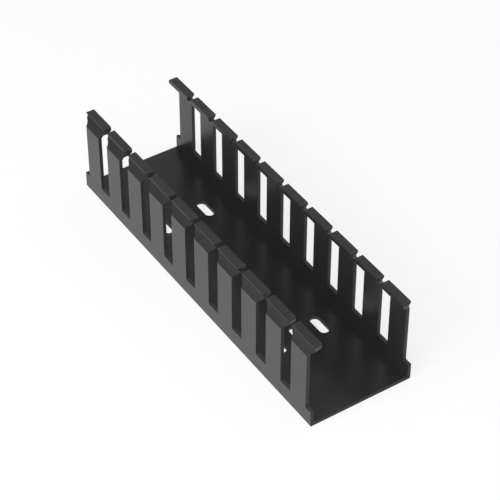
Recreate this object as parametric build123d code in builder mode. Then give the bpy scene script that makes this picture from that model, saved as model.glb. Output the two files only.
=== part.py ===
# Slotted wire duct: one length of open-topped cable trunking, extruded in rigid PVC
# and then punched.  X runs along the duct, Y across it and Z up, with the origin at
# the centre of the underside.  All sizes are in millimetres.
import os

from build123d import *

os.makedirs("parts", exist_ok=True)

# The cut length is a whole number of finger pitches, cut through a slot at each end.
pitch = 20.0
pitch_count = 10
length = pitch * pitch_count

# Outside of the section.
width = 55.6
height = 48.2
wall = 1.8
floor = 2.0

# Slots between the fingers: wide below, closing to a narrow throat between the heads.
slot_width = 8.0
slot_corner = 0.5
sill_height = 9.1
throat_width = 2.6
throat_height = 3.8
throat_round = 2.5
head_slope = 2.6
head_round = 1.5
lead_in = 1.5

# Cover rail along the top of each wall: a shoulder, a groove and a hooked lip.
shoulder_drop = 7.0
shoulder_inset = 1.5
shoulder_rise = 1.8
groove_depth = 2.8
groove_drop = 2.3
lip_inset = 1.5
lip_edge = 0.7
ledge_width = 4.5
ledge_thickness = 2.7
ledge_root = 0.6
root_rise = 4.2
rail_round = 0.4

# Fixing slots in the base, long ways along the duct.
fixing_length = 12.5
fixing_width = 5.0
fixing_columns = 2
fixing_pitch = 5 * pitch
fixing_rows = 3
fixing_row_pitch = 12.0

# Rounds along the base.
base_edge_round = 0.8
base_inner_round = 0.2

# Levels and half widths that follow from the sizes above.
outer = width / 2
inner = outer - wall
shoulder_level = height - shoulder_drop
neck_level = shoulder_level + shoulder_rise
groove_level = height - groove_drop
lip_outer = outer - lip_inset
lip_inner = lip_outer - ledge_width
ledge_level = height - ledge_thickness
root_level = ledge_level - ledge_root
root_back = outer - groove_depth - wall
throat_level = height - throat_height
half_slot = slot_width / 2
half_throat = throat_width / 2


def half_section():
    """Half of the section, drawn from the middle of the underside out and back."""
    Polyline(
        (0, 0),
        (outer, 0),
        (outer, shoulder_level),
        (outer - shoulder_inset, neck_level),
        (outer - groove_depth, groove_level),
        (lip_outer, height - lip_edge),
        (lip_outer, height),
        (lip_inner, height),
        (lip_inner, ledge_level),
        (root_back, root_level),
        (inner, root_level - root_rise),
        (inner, floor),
        (0, floor),
    )


def slot_row():
    """One punched slot at every pitch, the cut ends of the duct included."""
    slot_centres = GridLocations(pitch, 1, pitch_count + 1, 1)
    with slot_centres:
        Polygon(
            (-half_slot, sill_height),
            (half_slot, sill_height),
            (half_slot, throat_level - head_slope),
            (half_throat, throat_level),
            (half_throat, height),
            (-half_throat, height),
            (-half_throat, throat_level),
            (-half_slot, throat_level - head_slope),
            align=None,
        )
    # Corners by level: throat first, then the slot's upper ends, then its lower ones.
    for level, radius in ((-2, head_round), (1, throat_round), (0, slot_corner)):
        fillet(vertices().group_by(Axis.Y)[level], radius)
    # The heads are rounded off above as well, where wires are pushed in.
    lead_centre = half_throat + lead_in
    with slot_centres, Locations((0, height - lead_in)):
        Rectangle(2 * lead_centre, lead_in, align=(Align.CENTER, Align.MIN))
    with slot_centres, Locations(
        (-lead_centre, height - lead_in), (lead_centre, height - lead_in)
    ):
        Circle(lead_in, mode=Mode.SUBTRACT)


with BuildPart() as duct_channel:
    # The extruded section, with its rails rounded as the die leaves them.
    with BuildSketch(Plane.YZ):
        with BuildLine():
            half_section()
            mirror(about=Plane.YZ)
        make_face()
        fillet(vertices().group_by(Axis.Y)[-1], rail_round)
    extrude(amount=length / 2, both=True)

    # Rounds along the inside and the outside of the base.
    fillet(edges().filter_by(Axis.X).group_by(Axis.Z)[1], base_inner_round)
    fillet(edges().filter_by(Axis.X).group_by(Axis.Z)[0], base_edge_round)

    # The same punch goes through both walls.
    with BuildSketch(Plane.XZ):
        slot_row()
    extrude(amount=width, both=True, mode=Mode.SUBTRACT)

    # Fixing slots through the floor.
    with BuildSketch(Plane.XY):
        with GridLocations(fixing_pitch, fixing_row_pitch, fixing_columns, fixing_rows):
            SlotOverall(fixing_length, fixing_width)
    extrude(amount=floor, mode=Mode.SUBTRACT)

duct_channel.part.label = "duct_channel"
export_step(duct_channel.part, "parts/duct_channel.step")
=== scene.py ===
# %% [markdown]
# # A slotted wire duct in rigid PVC
#
# This is the open channel that carries wires inside an electrical cabinet.  The real
# one is pushed through a die as an endless bar, cooled, punched and cut off.  So it has
# only one section all along, and every slot is the same.
#
# The lesson makes it the same way: draw the section, extrude it, punch it, and break
# the sharp edges.  The measured part comes first, as a fixed frame.  It says where
# everything is, and the new piece takes its place.

import math

import bmesh
import bpy
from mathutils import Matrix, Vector


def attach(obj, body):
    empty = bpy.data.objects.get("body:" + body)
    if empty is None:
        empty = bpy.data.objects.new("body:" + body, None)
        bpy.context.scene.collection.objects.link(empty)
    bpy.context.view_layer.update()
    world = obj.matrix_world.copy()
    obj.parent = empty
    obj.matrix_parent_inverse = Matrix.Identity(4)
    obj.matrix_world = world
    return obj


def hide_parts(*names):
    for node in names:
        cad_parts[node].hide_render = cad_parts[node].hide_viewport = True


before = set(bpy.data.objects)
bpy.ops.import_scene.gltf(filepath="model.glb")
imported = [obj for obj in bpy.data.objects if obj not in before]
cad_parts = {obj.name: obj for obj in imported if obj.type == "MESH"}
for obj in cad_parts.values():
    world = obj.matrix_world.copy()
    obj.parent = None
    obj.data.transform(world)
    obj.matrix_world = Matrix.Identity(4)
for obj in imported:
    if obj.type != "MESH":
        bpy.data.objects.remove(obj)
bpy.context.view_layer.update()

# %% [markdown]
# ## Sizes
#
# Lengths are written in millimetres, as on a drawing, and turned to metres by one value.
# X runs along the duct, Y across it and Z up from the underside.

# %% Sizes of the duct
MM = 0.001

pitch = 20.0 * MM
pitch_count = 10
length = pitch * pitch_count

width = 55.6 * MM
height = 48.2 * MM
wall = 1.8 * MM
floor = 2.0 * MM

slot_width = 8.0 * MM
slot_corner = 0.5 * MM
sill_height = 9.1 * MM
throat_width = 2.6 * MM
throat_level = height - 3.8 * MM
throat_round = 2.5 * MM
head_slope = 2.6 * MM
head_round = 1.5 * MM
lead_in = 1.5 * MM

shoulder_drop = 7.0 * MM
shoulder_inset = 1.5 * MM
neck_drop = 5.2 * MM
groove_depth = 2.8 * MM
groove_drop = 2.3 * MM
lip_inset = 1.5 * MM
lip_edge = 0.7 * MM
ledge_width = 4.5 * MM
ledge_thickness = 2.7 * MM
root_inset = 4.6 * MM
root_drop = 3.3 * MM
slope_drop = 7.5 * MM

fixing_length = 12.5 * MM
fixing_width = 5.0 * MM
fixing_pitch = 5 * pitch
fixing_row_pitch = 12.0 * MM

print("fingers:", pitch_count, " finger width, mm:", round((pitch - slot_width) / MM, 1))


# %% [markdown]
# ## Outlines with rounds
#
# A die never leaves a sharp corner, and a round is what catches the light.  Bevelling
# the finished mesh would round the section too, but then every corner would get the same
# size.  Here each corner of a drawn outline has its own radius, and one function turns
# the corners into short arcs.

# %% Round the corners of an outline
def rounded(corners, steps=5):
    """Points of a closed outline.  Each corner is (across, up, radius)."""
    points = []
    for i, (x, y, radius) in enumerate(corners):
        here = Vector((x, y))
        back = Vector(corners[i - 1][:2]) - here
        ahead = Vector(corners[(i + 1) % len(corners)][:2]) - here
        if radius == 0:
            points.append(here)
            continue
        half_angle = back.angle(ahead) / 2
        cut = radius / math.tan(half_angle)
        start = here + back.normalized() * cut
        middle = (back.normalized() + ahead.normalized()).normalized()
        centre = here + middle * (radius / math.sin(half_angle))
        turn = (start - centre).angle_signed(here + ahead.normalized() * cut - centre)
        for k in range(steps + 1):
            arm = start - centre
            angle = -turn * k / steps
            points.append(centre + Vector((
                arm.x * math.cos(angle) - arm.y * math.sin(angle),
                arm.x * math.sin(angle) + arm.y * math.cos(angle),
            )))
    return points


def outline_object(name, points, place):
    """A flat face through the points, put in space by place(across, up)."""
    mesh = bpy.data.meshes.new(name)
    mesh.from_pydata([place(p.x, p.y) for p in points], [], [list(range(len(points)))])
    made = bpy.data.objects.new(name, mesh)
    bpy.context.scene.collection.objects.link(made)
    return made


# %% [markdown]
# ## The section
#
# Half of it is written down, from the underside out to the wall, up to the cover rail
# and back along the inside.  The rail is a shoulder, a groove that the cover's hook
# closes into, and a lip.  Inside, a ledge overhangs the wires and keeps them in.

# %% Draw the section
outer = width / 2
inner = outer - wall
lip_outer = outer - lip_inset
lip_inner = lip_outer - ledge_width
right_half = [
    (outer, 0, 0.8 * MM),
    (outer, height - shoulder_drop, 0.3 * MM),
    (outer - shoulder_inset, height - neck_drop, 0.5 * MM),
    (outer - groove_depth, height - groove_drop, 0.4 * MM),
    (lip_outer, height - lip_edge, 0.2 * MM),
    (lip_outer, height, 0.4 * MM),
    (lip_inner, height, 0.4 * MM),
    (lip_inner, height - ledge_thickness, 0.4 * MM),
    (outer - root_inset, height - root_drop, 0.8 * MM),
    (inner, height - slope_drop, 1.5 * MM),
    (inner, floor, 0.04 * MM),
]
left_half = [(-y, z, radius) for y, z, radius in reversed(right_half)]
section_points = rounded(right_half + left_half)
section = outline_object(
    "section", section_points, lambda y, z: (-length / 2, y, z)
)
print("section points:", len(section_points))

# %% [markdown]
# ## The punches
#
# One punch cuts the slot.  Under the heads it slopes in to a narrow throat, and above
# them it opens again, so that a wire finds its way in and doesn't fall out.  The other
# punch cuts the long hole for a screw in the floor.

# %% Draw the two punches
half_slot = slot_width / 2
half_throat = throat_width / 2
half_mouth = half_throat + lead_in
clear_above = height + 3 * MM
# A round that used up its whole edge would leave two points in one place.
nearly_all = 0.999
right_side = [
    (half_slot, sill_height, slot_corner),
    (half_slot, throat_level - head_slope, throat_round),
    (half_throat, throat_level, head_round),
    (half_throat, height, lead_in * nearly_all),
    (half_mouth, height, 0),
    (half_mouth, clear_above, 0),
]
left_side = [(-x, z, radius) for x, z, radius in reversed(right_side)]
slot_punch = outline_object(
    "slot_punch",
    rounded(right_side + left_side, 8),
    lambda x, z: (x, width, z),
)

half_run = fixing_length / 2
half_hole = fixing_width / 2
fixing_corners = [
    (half_run, -half_hole, half_hole * nearly_all),
    (half_run, half_hole, half_hole * nearly_all),
    (-half_run, half_hole, half_hole * nearly_all),
    (-half_run, -half_hole, half_hole * nearly_all),
]
fixing_punch = outline_object(
    "fixing_punch",
    rounded(fixing_corners, 10),
    lambda x, y: (x, y, -floor),
)
print("slot punch points:", len(slot_punch.data.vertices))


# %% [markdown]
# ## One helper for nodes
#
# Both the shape and the finish are made with nodes.  This one function adds a node, sets
# what it is told, and links or fills its inputs, so the trees below read from top to
# bottom as a recipe.

# %% Add a node
def add(tree, kind, settings=None, inputs=None):
    """A new node in tree.  An input is given a value, a node's output, or a list of outputs."""
    node = tree.nodes.new(kind)
    for name, value in (settings or {}).items():
        setattr(node, name, value)
    for name, value in (inputs or {}).items():
        for item in value if isinstance(value, list) else [value]:
            if isinstance(item, bpy.types.NodeSocket):
                tree.links.new(item, node.inputs[name])
            else:
                node.inputs[name].default_value = item
    return node


# %% [markdown]
# ## Extrude and punch
#
# Everything here repeats by a rule, so Geometry Nodes make it.  The section is pulled
# along X into a bar.  The slot punch is copied to every pitch, the fixing punch to a
# small grid, and both are taken out of the bar in one step, as the press does.
#
# A punched face is duller than the skin that the die has polished, and the two sawn ends
# are duller still.  The tree finds those faces by itself: a face that doesn't lie on the
# skin of the bar must be a cut, and a cut at the far end of X was made by the saw.

# %% Name the tree's inputs
duct_tree = bpy.data.node_groups.new("extrude_and_punch", "GeometryNodeTree")
duct_tree.interface.new_socket("Geometry", in_out="INPUT", socket_type="NodeSocketGeometry")
duct_tree.interface.new_socket("Geometry", in_out="OUTPUT", socket_type="NodeSocketGeometry")
settings = {
    "Length": ("NodeSocketFloat", length),
    "Pitch": ("NodeSocketFloat", pitch),
    "Slots": ("NodeSocketInt", pitch_count + 1),
    "Punch reach": ("NodeSocketFloat", 2 * width),
    "Slot punch": ("NodeSocketObject", slot_punch),
    "Fixing punch": ("NodeSocketObject", fixing_punch),
    "Fixing reach": ("NodeSocketFloat", 3 * floor),
    "Fixing pitch": ("NodeSocketFloat", fixing_pitch),
    "Fixing row pitch": ("NodeSocketFloat", fixing_row_pitch),
    "Skin": ("NodeSocketMaterial", None),
    "Cut": ("NodeSocketMaterial", None),
    "Sawn": ("NodeSocketMaterial", None),
}
sockets = {
    name: duct_tree.interface.new_socket(name, in_out="INPUT", socket_type=kind)
    for name, (kind, value) in settings.items()
}
given = add(duct_tree, "NodeGroupInput").outputs


# %% Turn a flat outline into a closed bar
def pulled(outline, offset):
    """The outline, pulled along offset and closed at its start; also its side faces."""
    pull = add(duct_tree, "GeometryNodeExtrudeMesh", {"mode": "FACES"}, {
        "Mesh": outline, "Offset": offset, "Offset Scale": 1.0, "Individual": False,
    })
    start = add(duct_tree, "GeometryNodeFlipFaces", inputs={"Mesh": outline})
    joined = add(duct_tree, "GeometryNodeJoinGeometry", inputs={
        "Geometry": [pull.outputs["Mesh"], start.outputs["Mesh"]],
    })
    closed = add(duct_tree, "GeometryNodeMergeByDistance", inputs={
        "Geometry": joined.outputs["Geometry"], "Distance": 0.001 * MM,
    })
    sides = add(duct_tree, "GeometryNodeSeparateGeometry", {"domain": "FACE"}, {
        "Geometry": pull.outputs["Mesh"], "Selection": pull.outputs["Side"],
    })
    return closed.outputs["Geometry"], sides.outputs["Selection"]


# %% Pull the bar and set the punches out
along = add(duct_tree, "ShaderNodeCombineXYZ", inputs={"X": given["Length"]})
bar, skin = pulled(given["Geometry"], along.outputs["Vector"])

slot_outline = add(duct_tree, "GeometryNodeObjectInfo", inputs={"Object": given["Slot punch"]})
across = add(duct_tree, "ShaderNodeMath", {"operation": "MULTIPLY"}, {
    0: given["Punch reach"], 1: -1.0,
})
stroke = add(duct_tree, "ShaderNodeCombineXYZ", inputs={"Y": across.outputs["Value"]})
slot_tool, _ = pulled(slot_outline.outputs["Geometry"], stroke.outputs["Vector"])

first = add(duct_tree, "ShaderNodeMath", {"operation": "MULTIPLY"}, {
    0: given["Length"], 1: -0.5,
})
first_place = add(duct_tree, "ShaderNodeCombineXYZ", inputs={"X": first.outputs["Value"]})
step = add(duct_tree, "ShaderNodeCombineXYZ", inputs={"X": given["Pitch"]})
slot_places = add(duct_tree, "GeometryNodeMeshLine", {"mode": "OFFSET"}, {
    "Count": given["Slots"],
    "Start Location": first_place.outputs["Vector"],
    "Offset": step.outputs["Vector"],
})
slot_tools = add(duct_tree, "GeometryNodeInstanceOnPoints", inputs={
    "Points": slot_places.outputs["Mesh"], "Instance": slot_tool,
})

fixing_outline = add(duct_tree, "GeometryNodeObjectInfo", inputs={
    "Object": given["Fixing punch"],
})
down = add(duct_tree, "ShaderNodeCombineXYZ", inputs={"Z": given["Fixing reach"]})
fixing_tool, _ = pulled(fixing_outline.outputs["Geometry"], down.outputs["Vector"])
rows_across = add(duct_tree, "ShaderNodeMath", {"operation": "MULTIPLY"}, {
    0: given["Fixing row pitch"], 1: 2.0,
})
fixing_places = add(duct_tree, "GeometryNodeMeshGrid", inputs={
    "Size X": given["Fixing pitch"], "Size Y": rows_across.outputs["Value"],
    "Vertices X": 2, "Vertices Y": 3,
})
fixing_tools = add(duct_tree, "GeometryNodeInstanceOnPoints", inputs={
    "Points": fixing_places.outputs["Mesh"], "Instance": fixing_tool,
})

# %% Punch the bar and tell skin from cut
tools = add(duct_tree, "GeometryNodeJoinGeometry", inputs={
    "Geometry": [slot_tools.outputs["Instances"], fixing_tools.outputs["Instances"]],
})
tools_real = add(duct_tree, "GeometryNodeRealizeInstances", inputs={
    "Geometry": tools.outputs["Geometry"],
})
punched = add(duct_tree, "GeometryNodeMeshBoolean", {
    "operation": "DIFFERENCE", "solver": "EXACT",
}, {"Mesh 1": bar, "Mesh 2": tools_real.outputs["Geometry"]})

to_skin = add(duct_tree, "GeometryNodeProximity", {"target_element": "FACES"}, {
    "Geometry": skin,
})
is_cut = add(duct_tree, "FunctionNodeCompare", {"operation": "GREATER_THAN"}, {
    "A": to_skin.outputs["Distance"], "B": 0.02 * MM,
})
real = add(duct_tree, "GeometryNodeRealizeInstances", inputs={
    "Geometry": punched.outputs["Mesh"],
})
skin_finish = add(duct_tree, "GeometryNodeSetMaterial", inputs={
    "Geometry": real.outputs["Geometry"], "Material": given["Skin"],
})
cut_finish = add(duct_tree, "GeometryNodeSetMaterial", inputs={
    "Geometry": skin_finish.outputs["Geometry"],
    "Selection": is_cut.outputs["Result"], "Material": given["Cut"],
})
place = add(duct_tree, "GeometryNodeInputPosition")
place_parts = add(duct_tree, "ShaderNodeSeparateXYZ", inputs={"Vector": place.outputs["Position"]})
from_middle = add(duct_tree, "ShaderNodeMath", {"operation": "ABSOLUTE"}, {
    0: place_parts.outputs["X"],
})
half_length = add(duct_tree, "ShaderNodeMath", {"operation": "MULTIPLY"}, {
    0: given["Length"], 1: 0.4999,
})
is_end = add(duct_tree, "FunctionNodeCompare", {"operation": "GREATER_THAN"}, {
    "A": from_middle.outputs["Value"], "B": half_length.outputs["Value"],
})
sawn_finish = add(duct_tree, "GeometryNodeSetMaterial", inputs={
    "Geometry": cut_finish.outputs["Geometry"],
    "Selection": is_end.outputs["Result"], "Material": given["Sawn"],
})
add(duct_tree, "NodeGroupOutput", inputs={"Geometry": sawn_finish.outputs["Geometry"]})
print("nodes in the duct's tree:", len(duct_tree.nodes))


# %% [markdown]
# ## Colours
#
# Colours are written as the sRGB hex values that a picture editor shows.  The renderer
# wants linear light, so one function turns them.

# %% Turn a hex colour to linear
def linear(hex_colour):
    """The linear RGBA of an sRGB hex colour such as 2A2A2A."""
    channels = [int(hex_colour[i:i + 2], 16) / 255 for i in (0, 2, 4)]
    return (*[
        c / 12.92 if c <= 0.04045 else ((c + 0.055) / 1.055) ** 2.4 for c in channels
    ], 1.0)


# %% [markdown]
# ## The skin: extruded rigid PVC, black
#
# Rigid PVC leaves the die with a satin skin.  Its colour is a deep grey-black all the
# way through.  What the eye gets is mostly reflection: flat faces mirror the pale table
# softly, and fine lines along the bar come from the die.  A coat over a dark base would
# shine more, but an extrusion has no coat, so one surface with a low roughness does.

# %% Make the extruded finish
extruded_pvc = bpy.data.materials.new("extruded_rigid_pvc_black")
extruded_pvc.use_nodes = True
skin_tree = extruded_pvc.node_tree
skin_tree.nodes.clear()

skin_place = add(skin_tree, "ShaderNodeTexCoord").outputs["Object"]

# Die lines lie along X, about 0.6 mm apart, and change slowly along the bar.
die_scale = add(skin_tree, "ShaderNodeMapping", inputs={
    "Vector": skin_place, "Scale": (8.0, 1600.0, 1600.0),
})
die_lines = add(skin_tree, "ShaderNodeTexNoise", inputs={
    "Vector": die_scale.outputs["Vector"], "Scale": 1.0, "Detail": 3.0,
})
# The melt cools unevenly, which leaves soft cloudy patches about 30 mm across.
clouds = add(skin_tree, "ShaderNodeTexNoise", inputs={
    "Vector": skin_place, "Scale": 35.0, "Detail": 1.0,
})
# The satin itself is a grain of about 0.2 mm.
grain = add(skin_tree, "ShaderNodeTexNoise", inputs={
    "Vector": skin_place, "Scale": 5000.0, "Detail": 2.0,
})

skin_colour = add(skin_tree, "ShaderNodeMix", {"data_type": "RGBA"}, {
    0: clouds.outputs["Fac"], 6: linear("2A2A2A"), 7: linear("2F2F2F"),
})
skin_roughness = add(skin_tree, "ShaderNodeMapRange", inputs={
    "Value": clouds.outputs["Fac"],
    "From Min": 0.2, "From Max": 0.8, "To Min": 0.26, "To Max": 0.32,
})
die_bump = add(skin_tree, "ShaderNodeBump", inputs={
    "Height": die_lines.outputs["Fac"], "Strength": 0.15, "Distance": 0.05 * MM,
})
grain_bump = add(skin_tree, "ShaderNodeBump", inputs={
    "Height": grain.outputs["Fac"], "Strength": 0.1, "Distance": 0.02 * MM,
    "Normal": die_bump.outputs["Normal"],
})
skin_surface = add(skin_tree, "ShaderNodeBsdfPrincipled", inputs={
    "Base Color": skin_colour.outputs[2],
    "Roughness": skin_roughness.outputs["Result"],
    "IOR": 1.54,
    "Normal": grain_bump.outputs["Normal"],
})
add(skin_tree, "ShaderNodeOutputMaterial", inputs={"Surface": skin_surface.outputs["BSDF"]})

# %% [markdown]
# ## The cuts: punched rigid PVC
#
# A punch shears the wall.  The sheared face is duller and a little paler than the skin,
# with faint drag lines in the direction of the stroke, across the duct.  Only the narrow
# throat is given a shine, which puts a small glint on the corner of each head.

# %% Make the punched finish
punched_pvc = bpy.data.materials.new("punched_rigid_pvc_black")
punched_pvc.use_nodes = True
cut_tree = punched_pvc.node_tree
cut_tree.nodes.clear()

cut_place = add(cut_tree, "ShaderNodeTexCoord").outputs["Object"]
# Drag lines run across the duct, along Y, about 0.3 mm apart.
drag_scale = add(cut_tree, "ShaderNodeMapping", inputs={
    "Vector": cut_place, "Scale": (3000.0, 150.0, 3000.0),
})
drag_lines = add(cut_tree, "ShaderNodeTexNoise", inputs={
    "Vector": drag_scale.outputs["Vector"], "Scale": 1.0, "Detail": 3.0,
})
cut_colour = add(cut_tree, "ShaderNodeMix", {"data_type": "RGBA"}, {
    0: drag_lines.outputs["Fac"], 6: linear("383838"), 7: linear("404040"),
})
cut_bump = add(cut_tree, "ShaderNodeBump", inputs={
    "Height": drag_lines.outputs["Fac"], "Strength": 0.3, "Distance": 0.05 * MM,
})
# The ends of the heads glint and the slots' sides don't, so the throat is made smoother.
# That a thin punch rubs there is only a likely cause.
cut_height = add(cut_tree, "ShaderNodeSeparateXYZ", inputs={"Vector": cut_place})
cut_roughness = add(cut_tree, "ShaderNodeMapRange", inputs={
    "Value": cut_height.outputs["Z"],
    "From Min": 41.5 * MM, "From Max": 42.5 * MM, "To Min": 0.55, "To Max": 0.25,
})
cut_shine = add(cut_tree, "ShaderNodeMapRange", inputs={
    "Value": cut_height.outputs["Z"],
    "From Min": 41.5 * MM, "From Max": 42.5 * MM, "To Min": 0.3, "To Max": 0.5,
})
cut_surface = add(cut_tree, "ShaderNodeBsdfPrincipled", inputs={
    "Base Color": cut_colour.outputs[2],
    "Roughness": cut_roughness.outputs["Result"],
    "IOR": 1.54,
    "Specular IOR Level": cut_shine.outputs["Result"],
    "Normal": cut_bump.outputs["Normal"],
})
add(cut_tree, "ShaderNodeOutputMaterial", inputs={"Surface": cut_surface.outputs["BSDF"]})

# %% [markdown]
# ## The ends: sawn rigid PVC
#
# Each length is sawn off the endless bar.  The saw leaves fine arcs, which give the end a
# broad and dull sheen.  Slanting scratches about 0.5 mm apart stand for them, because the
# section is much smaller than the blade.

# %% Make the sawn finish
sawn_pvc = bpy.data.materials.new("sawn_rigid_pvc_black")
sawn_pvc.use_nodes = True
saw_tree = sawn_pvc.node_tree
saw_tree.nodes.clear()

saw_place = add(saw_tree, "ShaderNodeTexCoord").outputs["Object"]
saw_scale = add(saw_tree, "ShaderNodeMapping", inputs={
    "Vector": saw_place, "Rotation": (math.radians(12), 0.0, 0.0),
    "Scale": (300.0, 2000.0, 120.0),
})
saw_marks = add(saw_tree, "ShaderNodeTexNoise", inputs={
    "Vector": saw_scale.outputs["Vector"], "Scale": 1.0, "Detail": 4.0,
})
saw_colour = add(saw_tree, "ShaderNodeMix", {"data_type": "RGBA"}, {
    0: saw_marks.outputs["Fac"], 6: linear("303030"), 7: linear("3A3A3A"),
})
saw_bump = add(saw_tree, "ShaderNodeBump", inputs={
    "Height": saw_marks.outputs["Fac"], "Strength": 0.4, "Distance": 0.06 * MM,
})
saw_surface = add(saw_tree, "ShaderNodeBsdfPrincipled", inputs={
    "Base Color": saw_colour.outputs[2],
    "Roughness": 0.65,
    "IOR": 1.54,
    "Specular IOR Level": 0.35,
    "Normal": saw_bump.outputs["Normal"],
})
add(saw_tree, "ShaderNodeOutputMaterial", inputs={"Surface": saw_surface.outputs["BSDF"]})

# %% [markdown]
# ## Run the tree
#
# The tree's inputs are set before the object is first evaluated.

# %% Make the duct
for outline in (section, slot_punch, fixing_punch):
    outline.data.materials.append(extruded_pvc)
press = section.modifiers.new("press", "NODES")
press.node_group = duct_tree
settings["Skin"] = ("NodeSocketMaterial", extruded_pvc)
settings["Cut"] = ("NodeSocketMaterial", punched_pvc)
settings["Sawn"] = ("NodeSocketMaterial", sawn_pvc)
for name, (kind, value) in settings.items():
    press[sockets[name].identifier] = value

evaluated = section.evaluated_get(bpy.context.evaluated_depsgraph_get())
duct_mesh = bpy.data.meshes.new_from_object(evaluated)
duct_mesh.name = "slotted_duct"
duct = bpy.data.objects.new("slotted_duct", duct_mesh)
bpy.context.scene.collection.objects.link(duct)
for used in (section, slot_punch, fixing_punch):
    bpy.data.objects.remove(used)
print("faces:", len(duct_mesh.polygons), " materials:", list(duct_mesh.materials))
print("faces of each material:", [
    sum(1 for f in duct_mesh.polygons if f.material_index == i)
    for i in range(len(duct_mesh.materials))
])

# %% [markdown]
# ## Break the edges
#
# A punched edge isn't razor sharp.  A bevel of a tenth of a millimetre gives each edge
# the thin bright line that shows on the real part.  Only edges sharper than the section's
# small arcs are bevelled, and flat faces keep flat shading by weighted normals.

# %% Bevel the punched edges
edge_break = duct.modifiers.new("edge_break", "BEVEL")
edge_break.width = 0.12 * MM
edge_break.segments = 2
edge_break.limit_method = "ANGLE"
edge_break.angle_limit = math.radians(40)
edge_break.use_clamp_overlap = True
for face in duct_mesh.polygons:
    face.use_smooth = True
even = duct.modifiers.new("even_shading", "WEIGHTED_NORMAL")
even.keep_sharp = True
even.weight = 80

finished = duct.evaluated_get(bpy.context.evaluated_depsgraph_get())
finished_mesh = bpy.data.meshes.new_from_object(finished)
duct.modifiers.clear()
duct.data = finished_mesh
finished_mesh.name = "slotted_duct"
print("triangles:", sum(len(f.vertices) - 2 for f in finished_mesh.polygons))
lowest = [min(v.co[i] for v in finished_mesh.vertices) for i in range(3)]
highest = [max(v.co[i] for v in finished_mesh.vertices) for i in range(3)]
print("size, mm:", [round((b - a) / MM, 2) for a, b in zip(lowest, highest)])

check = bmesh.new()
check.from_mesh(finished_mesh)
print("open edges:", sum(1 for e in check.edges if not e.is_manifold),
      " volume, cm3:", round(check.calc_volume() * 1e6, 2))
check.free()

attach(duct, "root")
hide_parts("duct_channel")

# %% [markdown]
# ## The table
#
# The duct lies on a plain white table.  For the camera the table is nearly full white by
# itself, and only a small share of its brightness is light that falls on it.  That share
# is what keeps the object's shadow.  To rays of diffuse light the table is ordinary white
# paper, so it throws no extra light on the duct.
#
# In a reflection only a patch round the duct is white, and the table fades to grey further
# out.  The near wall mirrors the patch and looks pale.  The sloping groove mirrors the grey
# part and stays dark.  The patch's size is set so that both come out right.

# %% Make the table
table_mesh = bpy.data.meshes.new("table")
reach = 3.0
table_mesh.from_pydata(
    [(-reach, -reach, 0), (reach, -reach, 0), (reach, reach, 0), (-reach, reach, 0)],
    [], [(0, 1, 2, 3)],
)
table = bpy.data.objects.new("table", table_mesh)
bpy.context.scene.collection.objects.link(table)

white_paper = bpy.data.materials.new("white_table_paper")
white_paper.use_nodes = True
paper = white_paper.node_tree
paper.nodes.clear()
ray = add(paper, "ShaderNodeLightPath").outputs
camera_or_gloss = add(paper, "ShaderNodeMath", {"operation": "MAXIMUM"}, {
    0: ray["Is Camera Ray"], 1: ray["Is Glossy Ray"],
})
seen = add(paper, "ShaderNodeMath", {"operation": "MAXIMUM"}, {
    0: camera_or_gloss.outputs["Value"], 1: ray["Is Transmission Ray"],
})
plain = add(paper, "ShaderNodeBsdfDiffuse", inputs={"Color": (0.85, 0.85, 0.85, 1)})
paper_place = add(paper, "ShaderNodeTexCoord").outputs["Object"]
from_duct = add(paper, "ShaderNodeVectorMath", {"operation": "LENGTH"}, {0: paper_place})
lit_patch = add(paper, "ShaderNodeMapRange", inputs={
    "Value": from_duct.outputs["Value"],
    "From Min": 0.14, "From Max": 0.24, "To Min": 0.82, "To Max": 0.1,
})
whiteness = add(paper, "ShaderNodeMath", {"operation": "MAXIMUM"}, {
    0: ray["Is Camera Ray"], 1: lit_patch.outputs["Result"],
})
share_colour = add(paper, "ShaderNodeMix", {"data_type": "RGBA"}, {
    0: whiteness.outputs["Value"], 6: (0, 0, 0, 1), 7: (0.25, 0.25, 0.25, 1),
})
shadow_share = add(paper, "ShaderNodeBsdfDiffuse", inputs={"Color": share_colour.outputs[2]})
own_level = add(paper, "ShaderNodeMath", {"operation": "MULTIPLY"}, {
    0: whiteness.outputs["Value"], 1: 0.79,
})
own_white = add(paper, "ShaderNodeEmission", inputs={"Strength": own_level.outputs["Value"]})
as_seen = add(paper, "ShaderNodeAddShader", inputs={
    0: shadow_share.outputs["BSDF"], 1: own_white.outputs["Emission"],
})
paper_mix = add(paper, "ShaderNodeMixShader", inputs={
    "Fac": seen.outputs["Value"], 1: plain.outputs["BSDF"], 2: as_seen.outputs["Shader"],
})
add(paper, "ShaderNodeOutputMaterial", inputs={"Surface": paper_mix.outputs["Shader"]})
table_mesh.materials.append(white_paper)

# %% [markdown]
# ## Light
#
# Black plastic is lit by what it mirrors.  The room is brightest about 40 degrees up and
# nearly black overhead, so a level face mirrors a soft grey and no lamp.  Three softboxes
# give the plain light: a strong one from the side of the near wall, one from the front
# corner and a weak one from behind that keeps the far wall from going black.

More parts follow.
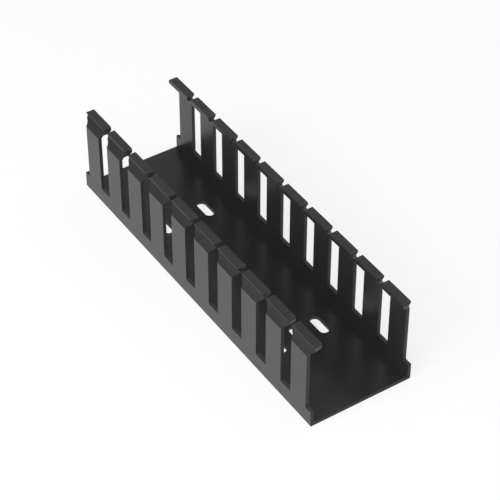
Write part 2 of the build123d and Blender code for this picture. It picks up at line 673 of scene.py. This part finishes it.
# %% Light the studio
world = bpy.data.worlds.new("studio")
bpy.context.scene.world = world
world.use_nodes = True
room = world.node_tree
room.nodes.clear()
direction = add(room, "ShaderNodeTexCoord").outputs["Generated"]
height_of_view = add(room, "ShaderNodeSeparateXYZ", inputs={"Vector": direction})
room_levels = add(room, "ShaderNodeValToRGB", inputs={"Fac": height_of_view.outputs["Z"]})
levels = room_levels.color_ramp.elements
levels[0].position, levels[0].color = 0.25, (0.18, 0.18, 0.18, 1)
levels[1].position, levels[1].color = 1.0, (0.03, 0.03, 0.03, 1)
for position, level in ((0.5, 0.49), (0.74, 0.49), (0.9, 0.06)):
    levels.new(position).color = (level, level, level, 1)
room_light = add(room, "ShaderNodeBackground", inputs={
    "Color": room_levels.outputs["Color"], "Strength": 1.0,
})
add(room, "ShaderNodeOutputWorld", inputs={"Surface": room_light.outputs["Background"]})


def softbox(name, place, aim, size, power):
    """A square area lamp at place that points at aim."""
    lamp = bpy.data.lights.new(name, "AREA")
    lamp.shape = "SQUARE"
    lamp.size = size
    lamp.energy = power
    holder = bpy.data.objects.new(name, lamp)
    holder.location = place
    holder.rotation_euler = (Vector(aim) - Vector(place)).to_track_quat("-Z", "Y").to_euler()
    bpy.context.scene.collection.objects.link(holder)
    return holder


middle = (0, 0, height / 2)
softbox("front_softbox", (0.65, -0.65, 0.9), middle, 0.8, 4.4)
softbox("side_softbox", (0.1, -1.05, 0.62), middle, 0.8, 10.5)
softbox("back_softbox", (0.0, 0.9, 0.95), middle, 0.8, 1.5)

# %% [markdown]
# ## Camera
#
# The photograph fixes the camera: it looks down at 42 degrees, 57 degrees round from the
# duct's side, through a long lens from almost a metre away.

# %% Place the camera
azimuth = math.radians(56.67)
elevation = math.radians(41.91)
distance = 931.2 * MM
target = Vector((7.1, 1.2, 22.07)) * MM
back = Vector((
    math.sin(azimuth) * math.cos(elevation),
    -math.cos(azimuth) * math.cos(elevation),
    math.sin(elevation),
))
camera_data = bpy.data.cameras.new("camera")
camera_data.sensor_width = 36.0
camera_data.lens = 141.52
camera_data.clip_start = 0.01
camera_data.clip_end = 20.0
camera = bpy.data.objects.new("camera", camera_data)
camera.location = target + back * distance
camera.rotation_euler = back.to_track_quat("Z", "Y").to_euler()
bpy.context.scene.collection.objects.link(camera)
bpy.context.scene.camera = camera
bpy.context.scene.view_settings.view_transform = "Standard"
print("camera at, mm:", [round(v / MM, 1) for v in camera.location])
